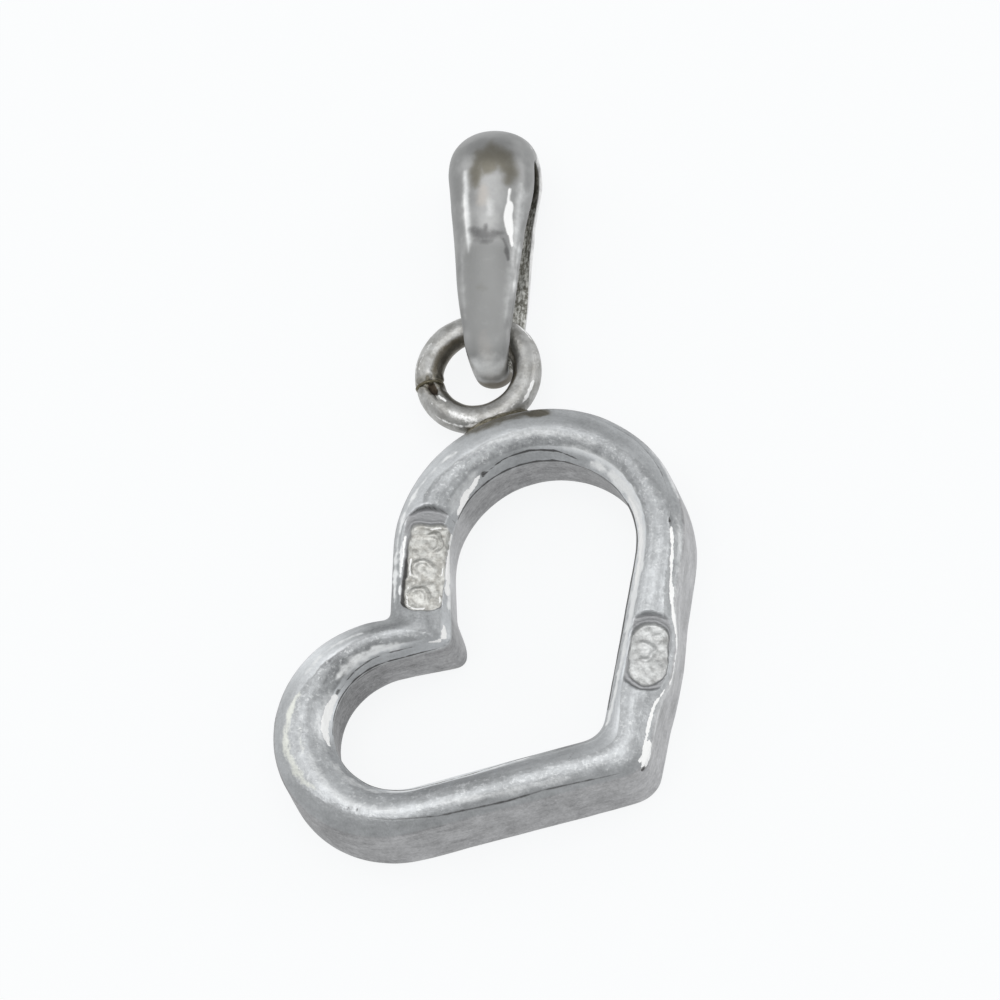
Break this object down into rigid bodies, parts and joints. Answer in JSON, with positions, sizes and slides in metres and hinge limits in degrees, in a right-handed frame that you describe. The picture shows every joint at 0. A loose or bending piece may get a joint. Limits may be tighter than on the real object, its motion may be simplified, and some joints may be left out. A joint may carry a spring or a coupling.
{
  "type": "open-heart pendant",
  "caption": "Small open, tilted heart pendant: a domed silver band with a flat back, a soldered jump ring and a hollow tapered bail that swings on it.",
  "frame": {"origin": "centre of the box's bottom face, on the surface that the pendant lies on", "axes": "+Y from the heart's tip side towards the bail, +Z out of the pendant's front, +X to the right as seen from the front"},
  "size_m": [0.0126, 0.0238, 0.0034],
  "materials": {
    "polished_silver": "cast silver, polished and hand filed, softly clouded on its ridge",
    "worn_silver": "drawn silver wire, worn and a little rough where it was soldered",
    "tarnished_solder": "silver solder with brown tarnish",
    "bail_silver": "cast silver, polished outside, rough and dark inside"
  },
  "bodies": {
    "heart_and_ring": {"heart": "polished_silver", "jump_ring": "worn_silver", "ring_seam_solder": "tarnished_solder", "heart_solder": "tarnished_solder"},
    "bail": {"bail": "bail_silver"}
  },
  "joints": [
    {"name": "bail_swing", "type": "hinge", "parent": "heart_and_ring", "child": "bail", "pos_m": [-0.00019, 0.00521, 0.0013], "axis": [0.9588, -0.284, 0], "range_deg": [-100, 100]}
  ]
}
